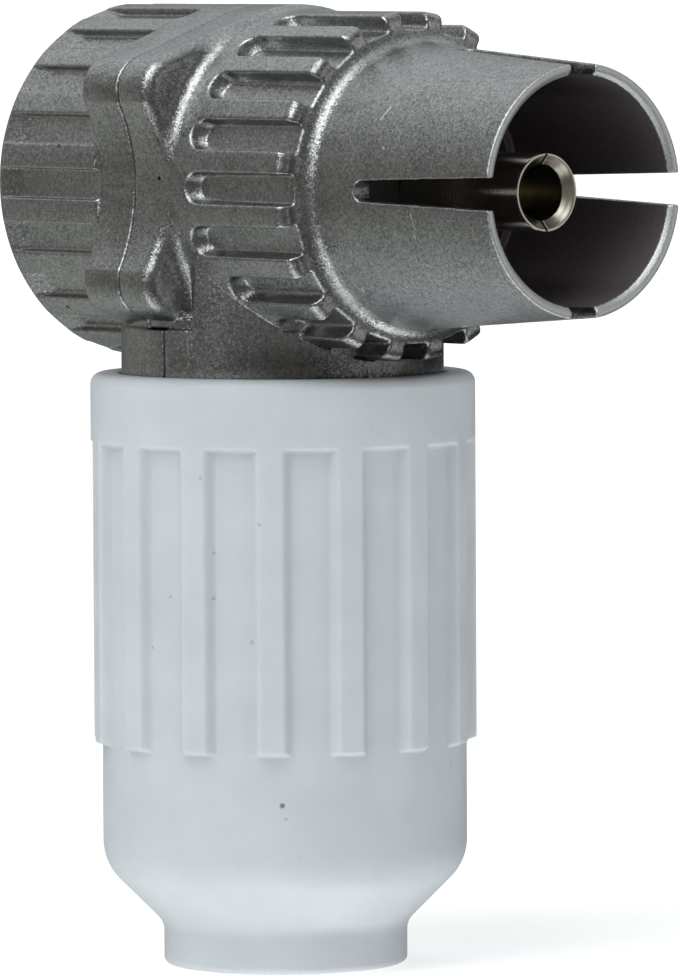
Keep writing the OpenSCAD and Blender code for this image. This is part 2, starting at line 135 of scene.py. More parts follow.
# Zinc alloy, pressure die cast and left bare: a dull grey skin whose fine crystals glint one by one
def castZinc():
    zinc = {
        "low": "#7d7e7e", "high": "#cbcbc9", "pit": "#2a292b", "nick": "#f4f8f6", "paintedShade": "#3b3735",
        "paintedShadeBackX": 2.5, "paintedShadeFrontX": 6.0, "paintedShadeFoot": 0.6, "paintedShadeTop": 1.9, "paintedShadeMost": 0.6,
        "crystal": 0.055, "grain": 0.18, "blotch": 1.6, "flow": 4.5,
        "glint": 0.24, "speckle": 0.65, "clouding": 0.3, "toneFrom": 0.6, "toneTo": 1.4, "levelFacet": 0.5,
        "grainHeight": 0.016, "grainBump": 0.6, "blotchHeight": 0.02, "blotchBump": 0.35,
        "flowFrom": 0.3, "flowTo": 0.7, "roughLow": 0.24, "roughHigh": 0.32,
    }
    material, tree, shader, place = newMaterial("bareDieCastZinc")
    crystals = addNode(tree, "ShaderNodeTexVoronoi", {},
                       {"Vector": place, "Scale": perMetre(zinc["crystal"])})
    grain = addNode(tree, "ShaderNodeTexNoise", {},
                    {"Vector": place, "Scale": perMetre(zinc["grain"]), "Detail": 3.0, "Roughness": 0.6})
    blotch = addNode(tree, "ShaderNodeTexNoise", {},
                     {"Vector": place, "Scale": perMetre(zinc["blotch"]), "Detail": 4.0, "Roughness": 0.55})
    flow = addNode(tree, "ShaderNodeTexNoise", {},
                   {"Vector": place, "Scale": perMetre(zinc["flow"]), "Detail": 2.0, "Distortion": 0.6})
    tone = addNode(tree, "ShaderNodeMath", {"operation": "MULTIPLY_ADD"},
                   {0: blotch.outputs["Fac"], 1: zinc["clouding"], 2: grain.outputs["Fac"]})
    speckled = addNode(tree, "ShaderNodeMath", {"operation": "MULTIPLY_ADD"},
                       {0: crystals.outputs["Color"], 1: zinc["speckle"], 2: tone.outputs[0]})
    ramp = addNode(tree, "ShaderNodeMapRange", {},
                   {"Value": speckled.outputs[0], "From Min": zinc["toneFrom"], "From Max": zinc["toneTo"]})
    colour = addNode(tree, "ShaderNodeMix", {"data_type": "RGBA"},
                     {0: ramp.outputs["Result"], 6: linearColour(zinc["low"]), 7: linearColour(zinc["high"])})
    rough = addNode(tree, "ShaderNodeMapRange", {},
                    {"Value": flow.outputs["Fac"], "From Min": zinc["flowFrom"], "From Max": zinc["flowTo"],
                     "To Min": zinc["roughLow"], "To Max": zinc["roughHigh"]})
    waves = addNode(tree, "ShaderNodeBump", {},
                    {"Strength": zinc["blotchBump"], "Distance": zinc["blotchHeight"] * mm,
                     "Height": blotch.outputs["Fac"]})
    skin = addNode(tree, "ShaderNodeBump", {},
                   {"Strength": zinc["grainBump"], "Distance": zinc["grainHeight"] * mm,
                    "Height": grain.outputs["Fac"], "Normal": waves.outputs["Normal"]})
    tilt = addNode(tree, "ShaderNodeVectorMath", {"operation": "SUBTRACT"},
                   {0: crystals.outputs["Color"], 1: (zinc["levelFacet"],) * 3})
    facet = addNode(tree, "ShaderNodeVectorMath", {"operation": "MULTIPLY_ADD"},
                    {0: tilt.outputs[0], 1: (zinc["glint"],) * 3, 2: skin.outputs["Normal"]})
    normal = addNode(tree, "ShaderNodeVectorMath", {"operation": "NORMALIZE"}, {0: facet.outputs[0]})
    pits = markMask(tree, place, castMarks["pits"])
    pitted = addNode(tree, "ShaderNodeMix", {"data_type": "RGBA"},
                     {0: pits, 6: colour.outputs[2], 7: linearColour(zinc["pit"])})
    nicks = markMask(tree, place, castMarks["nicks"])
    marked = addNode(tree, "ShaderNodeMix", {"data_type": "RGBA"},
                     {0: nicks, 6: pitted.outputs[2], 7: linearColour(zinc["nick"])})
    # Painted shade: the base colour darkens towards the front of the neck, just above the sleeve, under the
    # ring's overhang
    part = addNode(tree, "ShaderNodeSeparateXYZ", {}, {0: place}).outputs
    forward = addNode(tree, "ShaderNodeMapRange", {"interpolation_type": "SMOOTHSTEP"},
                      {"Value": part[0], "From Min": zinc["paintedShadeBackX"] * mm,
                       "From Max": zinc["paintedShadeFrontX"] * mm, "To Min": 0.0, "To Max": zinc["paintedShadeMost"]})
    lowDown = addNode(tree, "ShaderNodeMapRange", {"interpolation_type": "SMOOTHSTEP"},
                      {"Value": part[2], "From Min": (sleeveTop + zinc["paintedShadeFoot"]) * mm,
                       "From Max": (sleeveTop + zinc["paintedShadeTop"]) * mm,
                       "To Min": forward.outputs[0], "To Max": 0.0})
    shadeUnderRing = addNode(tree, "ShaderNodeMix", {"data_type": "RGBA"},
                     {0: lowDown.outputs[0], 6: marked.outputs[2], 7: linearColour(zinc["paintedShade"])})
    shader.inputs["Metallic"].default_value = 1.0
    tree.links.new(shadeUnderRing.outputs[2], shader.inputs["Base Color"])
    tree.links.new(rough.outputs["Result"], shader.inputs["Roughness"])
    tree.links.new(normal.outputs[0], shader.inputs["Normal"])
    return material


# The same casting in the bore and cavity: rougher, with a darker colour that is painted shade for the deep
# bore
boreWithPaintedShade = {"low": "#726b71", "high": "#c1b7be", "grain": 0.07, "grainHeight": 0.012, "roughness": 0.55}
# The mouth's forward-facing edge: paler, rougher metal than the cast skin
paleRoughLip = {"low": "#c3c8c4", "high": "#f6f8f3", "grain": 0.1, "grainHeight": 0.03, "roughness": 0.5}


# Bare zinc with one even grain, without the single glints of the cast skin
def grainyZinc(name, finish):
    grainBump = 0.6
    material, tree, shader, place = newMaterial(name)
    grain = addNode(tree, "ShaderNodeTexNoise", {},
                    {"Vector": place, "Scale": perMetre(finish["grain"]), "Detail": 3.0})
    colour = addNode(tree, "ShaderNodeMix", {"data_type": "RGBA"},
                     {0: grain.outputs["Fac"], 6: linearColour(finish["low"]),
                      7: linearColour(finish["high"])})
    skin = addNode(tree, "ShaderNodeBump", {},
                   {"Strength": grainBump, "Distance": finish["grainHeight"] * mm,
                    "Height": grain.outputs["Fac"]})
    shader.inputs["Metallic"].default_value = 1.0
    shader.inputs["Roughness"].default_value = finish["roughness"]
    tree.links.new(colour.outputs[2], shader.inputs["Base Color"])
    tree.links.new(skin.outputs["Normal"], shader.inputs["Normal"])
    return material


# Polypropylene, injection moulded: a cool white satin skin that lets a little light in, with specks of grime
def whitePolypropylene(specks):
    plastic = {
        "low": "#bcc0c5", "high": "#ced2d7", "grime": "#6f6a72",
        "cloud": 3.2, "cloudFrom": 0.3, "cloudTo": 0.7, "roughLow": 0.34, "roughHigh": 0.46,
        "orange": 0.35, "orangeHeight": 0.012, "orangeBump": 0.5,
        "dust": 1.1, "dustSize": 0.055, "dustDark": 0.35, "dark": 0.9, "faint": 0.36,
        "ior": 1.49, "letIn": 0.25, "depth": 0.9,
    }
    material, tree, shader, place = newMaterial("whiteMouldedPolypropylene")
    cloud = addNode(tree, "ShaderNodeTexNoise", {},
                    {"Vector": place, "Scale": perMetre(plastic["cloud"]), "Detail": 5.0, "Roughness": 0.6})
    orange = addNode(tree, "ShaderNodeTexNoise", {},
                     {"Vector": place, "Scale": perMetre(plastic["orange"]), "Detail": 2.0})
    colour = addNode(tree, "ShaderNodeMix", {"data_type": "RGBA"},
                     {0: cloud.outputs["Fac"], 6: linearColour(plastic["low"]),
                      7: linearColour(plastic["high"])})
    dust = addNode(tree, "ShaderNodeTexVoronoi", {}, {"Vector": place, "Scale": perMetre(plastic["dust"])})
    mask = addNode(tree, "ShaderNodeMapRange", {"interpolation_type": "SMOOTHSTEP"},
                   {"Value": dust.outputs["Distance"], "From Min": 0.0, "From Max": plastic["dustSize"],
                    "To Min": plastic["dustDark"], "To Max": 0.0}).outputs["Result"]
    for kind in ("dark", "faint"):
        spots = addNode(tree, "ShaderNodeMath", {"operation": "MULTIPLY"},
                        {0: markMask(tree, place, specks[kind]), 1: plastic[kind]})
        mask = addNode(tree, "ShaderNodeMath", {"operation": "MAXIMUM"},
                       {0: mask, 1: spots.outputs[0]}).outputs[0]
    dirty = addNode(tree, "ShaderNodeMix", {"data_type": "RGBA"},
                    {0: mask, 6: colour.outputs[2], 7: linearColour(plastic["grime"])})
    rough = addNode(tree, "ShaderNodeMapRange", {},
                    {"Value": cloud.outputs["Fac"],
                     "From Min": plastic["cloudFrom"], "From Max": plastic["cloudTo"],
                     "To Min": plastic["roughLow"], "To Max": plastic["roughHigh"]})
    skin = addNode(tree, "ShaderNodeBump", {},
                   {"Strength": plastic["orangeBump"], "Distance": plastic["orangeHeight"] * mm,
                    "Height": orange.outputs["Fac"]})
    shader.inputs["IOR"].default_value = plastic["ior"]
    shader.inputs["Subsurface Weight"].default_value = plastic["letIn"]
    shader.inputs["Subsurface Radius"].default_value = (1.0, 1.0, 1.0)
    shader.inputs["Subsurface Scale"].default_value = plastic["depth"] * mm
    tree.links.new(dirty.outputs[2], shader.inputs["Base Color"])
    tree.links.new(rough.outputs["Result"], shader.inputs["Roughness"])
    tree.links.new(skin.outputs["Normal"], shader.inputs["Normal"])
    return material


# Brass, turned and tin plated: a soft bright skin with fine rings from the lathe
def tinnedBrass():
    tin = {
        "low": "#c2bcad", "high": "#f2eddf", "blotch": 0.8, "roughness": 0.2,
        "ring": 0.09, "ringWander": 1.2, "ringHeight": 0.004, "ringBump": 0.5,
    }
    material, tree, shader, place = newMaterial("tinnedTurnedBrass")
    rings = addNode(tree, "ShaderNodeTexWave", {"bands_direction": "X"},
                    {"Vector": place, "Scale": perMetre(tin["ring"]) / (2 * math.pi),
                     "Distortion": tin["ringWander"]})
    blotch = addNode(tree, "ShaderNodeTexNoise", {},
                     {"Vector": place, "Scale": perMetre(tin["blotch"]), "Detail": 4.0})
    colour = addNode(tree, "ShaderNodeMix", {"data_type": "RGBA"},
                     {0: blotch.outputs["Fac"], 6: linearColour(tin["low"]), 7: linearColour(tin["high"])})
    skin = addNode(tree, "ShaderNodeBump", {},
                   {"Strength": tin["ringBump"], "Distance": tin["ringHeight"] * mm,
                    "Height": rings.outputs["Fac"]})
    shader.inputs["Metallic"].default_value = 1.0
    shader.inputs["Roughness"].default_value = tin["roughness"]
    tree.links.new(colour.outputs[2], shader.inputs["Base Color"])
    tree.links.new(skin.outputs["Normal"], shader.inputs["Normal"])
    return material


# Inner pieces, moulded or plated: a satin skin with slight clouding
def cloudedSkin(name, low, high, roughness, metallic):
    skin = {"cloud": 1.5, "cloudHeight": 0.02, "cloudBump": 0.4}
    material, tree, shader, place = newMaterial(name)
    cloud = addNode(tree, "ShaderNodeTexNoise", {},
                    {"Vector": place, "Scale": perMetre(skin["cloud"]), "Detail": 4.0})
    colour = addNode(tree, "ShaderNodeMix", {"data_type": "RGBA"},
                     {0: cloud.outputs["Fac"], 6: linearColour(low), 7: linearColour(high)})
    relief = addNode(tree, "ShaderNodeBump", {},
                     {"Strength": skin["cloudBump"], "Distance": skin["cloudHeight"] * mm,
                      "Height": cloud.outputs["Fac"]})
    shader.inputs["Metallic"].default_value = metallic
    shader.inputs["Roughness"].default_value = roughness
    tree.links.new(colour.outputs[2], shader.inputs["Base Color"])
    tree.links.new(relief.outputs["Normal"], shader.inputs["Normal"])
    return material


marginCells = 3      # samples kept outside a solid, and on each side of its skin


# Distances to solids, below zero inside, on a box of sample points
def samplePoints(low, high, step):
    margin = marginCells * step
    lines = [np.arange(a - margin, b + margin, step, dtype=np.float32) for a, b in zip(low, high)]
    return np.meshgrid(*lines, indexing="ij", sparse=True)


def roundJoin(a, b, radius):      # both solids, with a fillet in the corner between them
    corner = np.sqrt(np.maximum(radius - a, 0) ** 2 + np.maximum(radius - b, 0) ** 2)
    return np.maximum(radius, np.minimum(a, b)) - corner


def roundMeet(a, b, radius):      # what the solids share, with the edge between them rounded
    edge = np.sqrt(np.maximum(radius + a, 0) ** 2 + np.maximum(radius + b, 0) ** 2)
    return np.minimum(-radius, np.maximum(a, b)) + edge


def meshObject(name, mesh, materials):
    piece = bpy.data.objects.new(name, mesh)
    bpy.context.collection.objects.link(piece)
    for material in materials:
        mesh.materials.append(material)
    return piece


def bakeModifiers(piece):
    graph = bpy.context.evaluated_depsgraph_get()
    mesh = bpy.data.meshes.new_from_object(piece.evaluated_get(graph))
    piece.modifiers.clear()
    old = piece.data
    piece.data = mesh
    bpy.data.meshes.remove(old)
    mesh.name = piece.name


def skinOfField(name, field, points, step, triangles, materials):
    reach = marginCells * step
    volume = openvdb.FloatGrid()
    volume.background = reach
    volume.copyFromArray(np.clip(field, -reach, reach), tolerance=0)
    corners, _, quads = volume.convertToPolygons(isovalue=0.0, adaptivity=0.0)
    low = np.array([line.min() for line in points])
    mesh = bpy.data.meshes.new(name)
    mesh.from_pydata((corners * step + low) * mm, [], quads)
    piece = meshObject(name, mesh, materials)
    thin = piece.modifiers.new("thin", "DECIMATE")
    thin.ratio = min(1.0, triangles / (2 * len(quads)))
    bakeModifiers(piece)
    shell = bmesh.new()
    shell.from_mesh(piece.data)
    if shell.calc_volume(signed=True) < 0:
        bmesh.ops.reverse_faces(shell, faces=shell.faces)
    shell.to_mesh(piece.data)
    shell.free()
    piece.data.shade_smooth()
    print(name, len(quads), "quads sampled,", len(piece.data.polygons), "faces kept")
    return piece


castBody = {      # what the two castings share
    "step": 0.08, "triangles": 190000,
    "seamBack": 0.85, "seamGap": 0.06, "seamRound": 0.07, "neckSeamX": 0.5, "axisRise": 6.32,
    "flangeR": 7.95, "waistR": 7.66, "earR": 1.58, "earAngle": 30.8,
    "frontFlange": 2.1, "rearFlange": 2.65,
    "neckR": 7.2, "neckLand": 1.5, "neckRound": 0.05, "neckFillet": 0.12,
    "collarStep": 0.28, "collarRise": 0.5,
    "threadR": 6.75, "threadDepth": 0.55, "threadPitch": 1.5, "threadEnd": 0.3, "threadStop": 1.0,
    "chamberR": 5.0, "chamberRoof": 1.6, "coreHoleR": 2.7,
    "jawR": 3.5, "jawThick": 1.2, "jawPitch": 3.2, "jaws": 4,
    "cavityR": 6.1, "slots": 20,
}
seamX = -castBody["seamBack"]
ledgeZ = axisZ - castBody["axisRise"]
flangeX = seamX + castBody["frontFlange"]
drumX = seamX - castBody["rearFlange"]
earY = -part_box("front_housing")[0].y / mm - castBody["earR"]
earZ = earY * math.tan(math.radians(castBody["earAngle"]))
halfGap = castBody["seamGap"] / 2


def flangeDistance(y, up):      # two-eared outline with hollow waists
    sides = np.abs(y)
    rise = np.abs(up)
    span = math.hypot(earY, earZ)
    along = (sides * earY + rise * earZ) / span
    across = np.abs(rise * earY - sides * earZ) / span
    lean = (castBody["flangeR"] - castBody["earR"]) / span
    upright = math.sqrt(1 - lean ** 2)
    station = upright * along - lean * across
    straight = upright * across + lean * along - castBody["flangeR"]
    disc = np.hypot(along, across) - castBody["flangeR"]
    ear = np.hypot(along - span, across) - castBody["earR"]
    hull = np.where(station < 0, disc, np.where(station > upright * span, ear, straight))
    step = castBody["waistR"] - earY
    hollow = (step ** 2 + earZ ** 2 - castBody["earR"] ** 2) / (2 * (castBody["earR"] - step))
    waist = hollow - np.hypot(sides - castBody["waistR"] - hollow, rise)
    return np.maximum(hull, waist)


def neckDistance(x, y, z):      # plain land above, rounded screw thread below
    away = np.hypot(x, y)
    land = roundMeet(away - castBody["neckR"], z - ledgeZ, castBody["neckRound"])
    collarR = castBody["neckR"] - castBody["collarStep"]
    collar = np.maximum(away - collarR, np.abs(z - ledgeZ) - castBody["collarRise"])
    landZ = sleeveTop - castBody["neckLand"]
    land = roundMeet(land, landZ - z, castBody["neckRound"])
    phase = 2 * math.pi * z / castBody["threadPitch"] - np.arctan2(y, x)
    rootR = castBody["threadR"] - castBody["threadDepth"]
    fadeOut = np.clip((landZ - z) / castBody["threadPitch"], 0, 1)
    threadR = rootR + castBody["threadDepth"] * (0.5 + 0.5 * np.cos(phase)) * fadeOut
    thread = roundMeet(away - threadR, neckEndZ - z, castBody["threadEnd"])
    thread = np.maximum(thread, z - ledgeZ + castBody["threadStop"])
    return np.minimum(np.minimum(land, collar), thread)


def chamberDistance(x, y, z):      # cable chamber with the rings that bite the braid
    away = np.hypot(x, y)
    room = np.maximum(away - castBody["chamberR"], z - ledgeZ + castBody["chamberRoof"])
    turn = np.mod(z - neckEndZ, castBody["jawPitch"]) - castBody["jawThick"] / 2
    topJaw = neckEndZ + (castBody["jaws"] - 1) * castBody["jawPitch"] + castBody["jawThick"]
    jaw = np.maximum(np.abs(turn) - castBody["jawThick"] / 2, castBody["jawR"] - away)
    room = np.maximum(room, -np.maximum(jaw, z - topJaw))
    return np.minimum(room, np.maximum(away - castBody["coreHoleR"], z - axisZ))


def slotFrame(y, up):      # distances across and out in the nearest of the equal slots, and its direction
    pitch = 2 * math.pi / castBody["slots"]
    away = np.hypot(y, up)
    angle = np.arctan2(up, -y)
    turn = np.mod(angle + pitch / 2, pitch) - pitch / 2
    return np.abs(away * np.sin(turn)), away * np.cos(turn), np.cos(angle - turn), np.sin(angle - turn)


frontHalf = {      # flange, toothed ring, spring shell and boss
    "earRound": 0.6, "flangeFillet": 0.65, "earLean": 0.25, "earLeanR": 9.6,
    "ringR": 7.7, "ringLen": 8.1, "ringRound": 0.55, "ringLand": 1.45,
    "slotWide": 1.36, "slotDeep": 0.82, "slotDraft": 0.4, "slotFillet": 0.16, "slotRim": 0.13,
    "slotStopR": 6.9, "headroom": 2.0,
    "rootR": 6.3, "mouthR": 5.5, "mouthRound": 0.1, "shellFillet": 0.85,
    "seatR": 4.75, "deepBoreR": 5.15, "boreR": 5.0, "shoulderX": 4.6,
    "leadIn": 0.22, "leadInRound": 0.05, "lipFacing": 0.4,
    "springSlotLen": 8.2, "springMouth": 1.38, "springRoot": 0.9, "springRound": 0.07,
    "bossWide": 12.2, "bossFlare": 0.86, "bossRound": 0.12,
    "bossBite": 0.3, "bossDrop": 1.0, "bossFillet": 0.06,
}


def frontCasting(materials):
    size = frontHalf
    step = castBody["step"]
    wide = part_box("front_housing")[1].y / mm
    topZ = 2 * axisZ - ledgeZ + size["headroom"]
    points = samplePoints((seamX, -wide, neckEndZ), (mouthX, wide, topZ), step)
    x, y, z = points
    up = z - axisZ
    away = np.hypot(y, up)
    ringX = flangeX + size["ringLen"]
    across, out, side, rise = slotFrame(y, up)
    half = size["slotWide"] / 2
    floorR = size["ringR"] - size["slotDeep"]
    endX = np.sqrt(np.maximum(size["slotStopR"] ** 2 - (floorR * side) ** 2, 0)) * (rise < 0)
    endX = np.maximum(flangeX + size["ringLand"], endX)
    slotX = endX + half + size["slotDraft"] * (size["ringR"] - out)
    slot = roundMeet(np.hypot(np.minimum(x - slotX, 0), across) - half, floorR - out, size["slotFillet"])
    ring = roundMeet(away - size["ringR"], x - ringX, size["ringRound"])
    body = roundMeet(ring, -slot, size["slotRim"])
    taper = (size["mouthR"] - size["rootR"]) / (mouthX - ringX)
    shellR = size["rootR"] + taper * (x - ringX)
    body = roundJoin(body, roundMeet(away - shellR, x - mouthX, size["mouthRound"]), size["shellFillet"])
    lean = size["earLean"] * np.clip((size["earLeanR"] - away) / (size["earLeanR"] - size["ringR"]), 0, 1)
    flange = roundMeet(flangeDistance(y, up), x - flangeX - lean, size["earRound"])
    outline = np.minimum(away - size["ringR"], flangeDistance(y, up))
    body = np.maximum(roundJoin(body, flange, size["flangeFillet"]), outline)
    bossHalf = size["bossWide"] / 2 + size["bossFlare"] * (x - flangeX)      # widens to the neck's round
    bossSide = (np.abs(y) - bossHalf) / math.hypot(1, size["bossFlare"])
    bossFoot = ledgeZ - size["bossDrop"]
    boss = roundMeet(np.hypot(x, y) - castBody["neckR"], bossSide, size["bossRound"])
    boss = np.maximum(boss, flangeX - size["bossBite"] - x)
    boss = np.maximum(boss, np.maximum(z - axisZ, bossFoot - z))
    neck = neckDistance(x, y, z)
    slotCut = np.maximum(slot, away - size["ringR"])
    stem = roundMeet(np.minimum(boss, neck), -slotCut, size["slotRim"])
    body = roundJoin(body, stem, size["bossFillet"])
    body = np.minimum(body, roundJoin(flange, neck, castBody["neckFillet"]))
    cavity = np.maximum(away - castBody["cavityR"], x - size["shoulderX"])
    seat = np.maximum(away - size["seatR"], x - insulatorX)
    flare = (size["boreR"] - size["deepBoreR"]) / (mouthX - size["leadIn"] - insulatorX)
    bored = np.maximum(away - size["deepBoreR"] - flare * (x - insulatorX), insulatorX - x)
    leadIn = (away - size["boreR"] - size["leadIn"] + mouthX - x) / math.sqrt(2)
    inside = np.minimum(np.minimum(cavity, seat), np.minimum(bored, leadIn))
    body = roundMeet(body, -inside, size["leadInRound"])
    rootHalf = size["springRoot"] / 2
    springX = mouthX - size["springSlotLen"] + rootHalf
    opening = (size["springMouth"] - size["springRoot"]) / 2 / (size["springSlotLen"] - rootHalf)
    past = np.maximum(x - springX, 0)
    short = np.minimum(x - springX, 0)
    springs = np.minimum(np.hypot(short, up), np.hypot(short, y)) - rootHalf - opening * past
    body = roundMeet(body, -springs, size["springRound"])
    body = np.maximum(body, -chamberDistance(x, y, z))
    seam = np.maximum(seamX + halfGap - x, ledgeZ + halfGap - z)
    seam = np.minimum(seam, castBody["neckSeamX"] + halfGap - x)
    body = roundMeet(body, seam, castBody["seamRound"])
    piece = skinOfField("frontCasting", body, points, step, castBody["triangles"], materials)
    for face in piece.data.polygons:      # the bore and the cavity take the material with painted shade, and the mouth's edge is pale
        centre = face.center / mm
        fromAxis = math.hypot(centre.y, centre.z - axisZ)
        boreR = size["deepBoreR"] + flare * max(centre.x - insulatorX, 0)
        inBore = centre.x < mouthX - size["leadIn"] and fromAxis < boreR + size["leadInRound"]
        onLip = centre.x > mouthX - size["leadIn"] and face.normal.x > size["lipFacing"]
        face.material_index = 1 if inBore else 2 if onLip else 0
    return piece


rearHalf = {      # drum, flange and the lip that finds the front half
    "drumR": 7.97, "drumRound": 0.8, "slotWide": 1.34, "slotDeep": 0.4, "slotFillet": 0.08, "slotRim": 0.08,
    "slotFade": 1.8, "flangeRound": 0.3, "flangeFillet": 0.3, "rearWall": 1.5, "wallFillet": 0.4,
    "lipGap": 0.1, "lipWall": 0.8, "lipLen": 1.5, "lipBite": 0.5,
}


def rearCasting(materials):
    size = rearHalf
    step = castBody["step"]
    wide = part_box("rear_cover")[1].y / mm
    lipX = seamX + size["lipLen"]
    points = samplePoints((rearX, -wide, neckEndZ), (lipX, wide, axisZ + size["drumR"]), step)
    x, y, z = points
    up = z - axisZ
    away = np.hypot(y, up)
    across, out, _, _ = slotFrame(y, up)
    fade = np.clip((x - rearX) / size["slotFade"], 0, 1)
    floorR = size["drumR"] - size["slotDeep"] * fade
    slot = roundMeet(across - size["slotWide"] / 2, floorR - out, size["slotFillet"])
    drum = roundMeet(away - size["drumR"], rearX - x, size["drumRound"])
    drum = roundMeet(drum, -slot, size["slotRim"])
    drum = np.maximum(drum, x - drumX - step)
    flange = roundMeet(flangeDistance(y, up), drumX - x, size["flangeRound"])
    outline = np.minimum(away - size["drumR"], flangeDistance(y, up))
    body = np.maximum(roundJoin(drum, flange, size["flangeFillet"]), outline)
    body = roundJoin(body, neckDistance(x, y, z), castBody["neckFillet"])
    cavity = roundMeet(away - castBody["cavityR"], rearX + size["rearWall"] - x, size["wallFillet"])
    body = np.maximum(body, -cavity)
    seam = np.maximum(x - castBody["neckSeamX"] + halfGap, z - ledgeZ + halfGap)
    body = roundMeet(body, np.minimum(x - seamX + halfGap, seam), castBody["seamRound"])
    lipR = castBody["cavityR"] - size["lipGap"]
    lip = np.maximum(away - lipR, np.abs(x - seamX) - size["lipLen"])
    halfLip = size["lipLen"] / 2
    rootLength = np.abs(x - seamX + halfLip + halfGap) - halfLip + halfGap
    root = np.maximum(away - castBody["cavityR"] - size["lipBite"], rootLength)
    lip = np.maximum(np.minimum(lip, root), lipR - size["lipWall"] - away)
    body = np.maximum(np.minimum(body, lip), -chamberDistance(x, y, z))
    return skinOfField("rearCasting", body, points, step, castBody["triangles"], materials)


springContact = {      # slit socket in front, wire terminal behind
    "step": 0.04, "triangles": 60000, "drop": 0.09,
    "pinR": 1.7, "boreR": 1.2, "boreLen": 8.0, "lipRound": 0.05, "chamfer": 0.4, "chamferRound": 0.03,
    "slitWide": 0.12, "slitLen": 6.0, "slitRound": 0.03,
    "terminalR": 2.4, "wireHoleR": 0.7, "screwHoleR": 1.27,
}


def contactPin(materials):
    size = springContact
    step = size["step"]
    reach = size["terminalR"]
    middleZ = axisZ - size["drop"]      # the contact sits a little low in the shell
    points = samplePoints((terminalX, -reach, middleZ - reach), (contactX, reach, middleZ + reach), step)
    x, y, z = points
    up = z - middleZ
    away = np.hypot(y, up)
    pin = roundMeet(away - size["pinR"], x - contactX, size["lipRound"])
    pin = np.maximum(pin, terminalX - x)
    terminal = roundMeet(away - reach, x - insulatorBackX, size["lipRound"])
    terminal = roundMeet(terminal, terminalX - x, size["lipRound"])
    body = np.minimum(pin, terminal)
    bore = np.maximum(away - size["boreR"], contactX - size["boreLen"] - x)
    chamfer = (away - size["boreR"] - size["chamfer"] + contactX - x) / math.sqrt(2)
    body = roundMeet(body, -np.minimum(bore, chamfer), size["chamferRound"])
    slit = np.maximum(np.abs(y) - size["slitWide"] / 2, contactX - size["slitLen"] - x)
    body = roundMeet(body, -slit, size["slitRound"])
    wireHole = np.hypot(x, y) - size["wireHoleR"]
    screwHole = np.maximum(away - size["screwHoleR"], x)
    body = np.maximum(body, -np.minimum(wireHole, screwHole))
    return skinOfField("contactPin", body, points, step, size["triangles"], materials)


screwSleeve = {      # turned wall, ribs and bores, with the rows and steps of its mesh
    "columns": 960, "footSteps": 5, "shoulderSteps": 8, "lipSteps": 3, "endRows": 14, "middleRows": 7,
    "footR": 5.45, "footRound": 0.3, "footFillet": 0.9, "holeRound": 0.1,
    "bodyR": 8.15, "shoulderZ": 5.55, "shoulderRound": 2.4,
    "bandR": 8.6, "rimRound": 0.5, "lipRound": 0.15,
    "cableHoleR": 3.75, "seatZ": 2.6, "seatR": 4.95, "coneFootZ": 2.75, "coneTopZ": 6.45, "coneTopR": 6.55,
    "threadStartZ": 8.45, "threadBoreR": 6.95, "neckBoreR": 7.35, "neckBoreDeep": 1.65,
    "ribs": 15, "grooveAngle": 14.4, "grooveTurn": -7.0, "ribFootZ": 10.0, "grooveTopZ": 23.4,
    "sideSoft": 0.5, "endSoft": 0.2, "cornerRound": 0.35, "outerMargin": 0.01,
    "ribFootRows": (-0.3, 0.5), "grooveTopRows": (-0.5, 0.35), "middleInset": 1.5,
    "lowRows": (7.0, 8.5), "bandRow": 24.6, "boreRow": 17.0,
}


def arcPoints(centreR, centreZ, radius, start, end, steps):
    angles = np.radians(np.linspace(start, end, steps + 1))
    return [(centreR + radius * math.cos(a), centreZ + radius * math.sin(a)) for a in angles]


def sleeveProfile(size):
    slope = (math.sqrt(2) - 1) * (size["footFillet"] + size["shoulderRound"])
    footTop = size["footR"] - size["bodyR"] + size["shoulderZ"] - slope
    ribFootZ = size["ribFootZ"]
    grooveTopZ = size["grooveTopZ"]
    ribFoot = ribFootZ + np.linspace(*size["ribFootRows"], size["endRows"])
    grooveTop = grooveTopZ + np.linspace(*size["grooveTopRows"], size["endRows"])
    middle = np.linspace(ribFootZ + size["middleInset"], grooveTopZ - size["middleInset"], size["middleRows"])
    footMiddle = (size["cableHoleR"] + size["footR"]) / 2
    outside = [(size["cableHoleR"] + size["holeRound"], 0.0), (footMiddle, 0.0)]
    outside += arcPoints(size["footR"] - size["footRound"], size["footRound"],
                         size["footRound"], -90, 0, size["footSteps"])
    outside += arcPoints(size["footR"] + size["footFillet"], footTop,
                         size["footFillet"], 180, 135, size["footSteps"])
    outside += arcPoints(size["bodyR"] - size["shoulderRound"], size["shoulderZ"],
                         size["shoulderRound"], -45, 0, size["shoulderSteps"])
    heights = [*size["lowRows"], *ribFoot, *middle, *grooveTop, size["bandRow"]]
    outside += [(size["bodyR"], height) for height in heights]
    rimR = size["bodyR"] - size["rimRound"]
    outside += arcPoints(rimR, sleeveTop - size["rimRound"],
                         size["rimRound"], 0, 90, size["shoulderSteps"])
    lipR = size["neckBoreR"]
    inside = arcPoints(lipR + size["lipRound"], sleeveTop - size["lipRound"],
                       size["lipRound"], 90, 180, size["lipSteps"])
    stepZ = sleeveTop - size["neckBoreDeep"]
    inside += [(lipR, stepZ), (size["threadBoreR"], stepZ), (size["threadBoreR"], size["boreRow"]),
               (size["threadBoreR"], size["threadStartZ"]), (size["coneTopR"], size["coneTopZ"]),
               (size["seatR"], size["coneFootZ"]), (size["seatR"], size["seatZ"]),
               (size["cableHoleR"], size["seatZ"]), (size["cableHoleR"], size["holeRound"])]
    return np.array(outside), np.array(inside)


